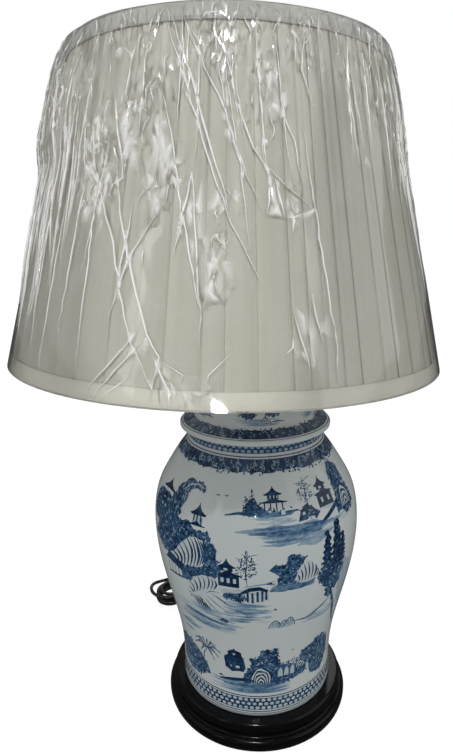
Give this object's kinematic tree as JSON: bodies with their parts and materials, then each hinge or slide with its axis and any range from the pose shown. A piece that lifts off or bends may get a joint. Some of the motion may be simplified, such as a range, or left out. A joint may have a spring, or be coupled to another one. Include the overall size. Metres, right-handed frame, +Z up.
{
  "type": "table lamp",
  "caption": "Table lamp made from a blue and white ginger jar on a turned black plinth, with a harp, socket and a pleated empire shade still in clear film.",
  "frame": {"origin": "centre of the felt disc's underside, on the jar's axis, where the lamp stands", "axes": "+Z up along the jar; -Y is the front of the lamp as pictured, +X to its right"},
  "size_m": [0.4065, 0.4976, 0.6614],
  "materials": {
    "felt": "green-black felt",
    "black_lacquer": "gloss black lacquer",
    "painted_porcelain": "cobalt painting under clear glaze",
    "steel_pipe": "threaded",
    "zinc_steel": "zinc plated",
    "brass": "polished brass",
    "socket_brass": "thin pressed brass",
    "black_plastic": "moulded",
    "liner_card": "pressed card",
    "phenolic": "moulded phenolic",
    "thread_aluminium": "rolled thread",
    "white_wire": "white enamel",
    "lining": "white styrene lining",
    "pleated_silk": "pleated silk",
    "trim_cloth": "folded silk braid",
    "clear_film": "clear wrapping film",
    "black_rubber": "satin",
    "black_cord": "glossy cord jacket",
    "black_tie": "plastic tie",
    "blade_brass": "bare"
  },
  "bodies": {
    "lamp": {"base_felt": "felt", "base_plinth": "black_lacquer", "jar_body": "painted_porcelain", "jar_lid": "painted_porcelain", "lamp_pipe": "steel_pipe", "base_washer": "zinc_steel", "base_nut": "zinc_steel", "vase_cap": "brass", "brass_neck": "brass", "saddle_nut": "zinc_steel", "harp_saddle": "brass", "harp": "brass", "harp_stud": "brass", "socket_cap": "socket_brass", "set_screw": "zinc_steel", "pipe_bushing": "black_plastic", "socket_shell": "socket_brass", "socket_liner": "liner_card", "socket_body": "phenolic", "terminal_screws": "zinc_steel", "screw_shell": "thread_aluminium", "centre_contact": "brass", "strain_relief": "black_rubber", "cord_inner": "black_cord", "cord_free": "black_cord", "cord_hank": "black_cord", "cord_tie": "black_tie", "plug_body": "black_rubber", "plug_blades": "blade_brass"},
    "shade": {"bottom_ring": "white_wire", "top_ring": "white_wire", "spider": "brass", "shade_lining": "lining", "shade_fabric": "pleated_silk", "trim_bottom": "trim_cloth", "trim_top": "trim_cloth", "shade_film": "clear_film"},
    "finial": {"finial": "brass"},
    "knob": {"switch_shaft": "zinc_steel", "switch_knob": "black_plastic"},
    "sleeve_front": {"harp_sleeve_front": "brass"},
    "sleeve_back": {"harp_sleeve_back": "brass"}
  },
  "joints": [
    {"name": "shade_swivel", "type": "hinge", "parent": "lamp", "child": "shade", "pos_m": [-0.02253, 0, 0.63168], "axis": [0.0316, 0, 0.9995], "continuous": true},
    {"name": "finial_turn", "type": "hinge", "parent": "lamp", "child": "finial", "pos_m": [-0.02253, 0, 0.63168], "axis": [0.0316, 0, 0.9995], "continuous": true},
    {"name": "knob_turn", "type": "hinge", "parent": "lamp", "child": "knob", "pos_m": [0, 0, 0.4025], "axis": [1, 0, 0], "continuous": true},
    {"name": "sleeve_front_slide", "type": "slide", "parent": "lamp", "child": "sleeve_front", "axis": [-0.0888, 0, 0.9961], "range_m": [0, 0.012]},
    {"name": "sleeve_back_slide", "type": "slide", "parent": "lamp", "child": "sleeve_back", "axis": [-0.0888, 0, 0.9961], "range_m": [0, 0.012]}
  ]
}
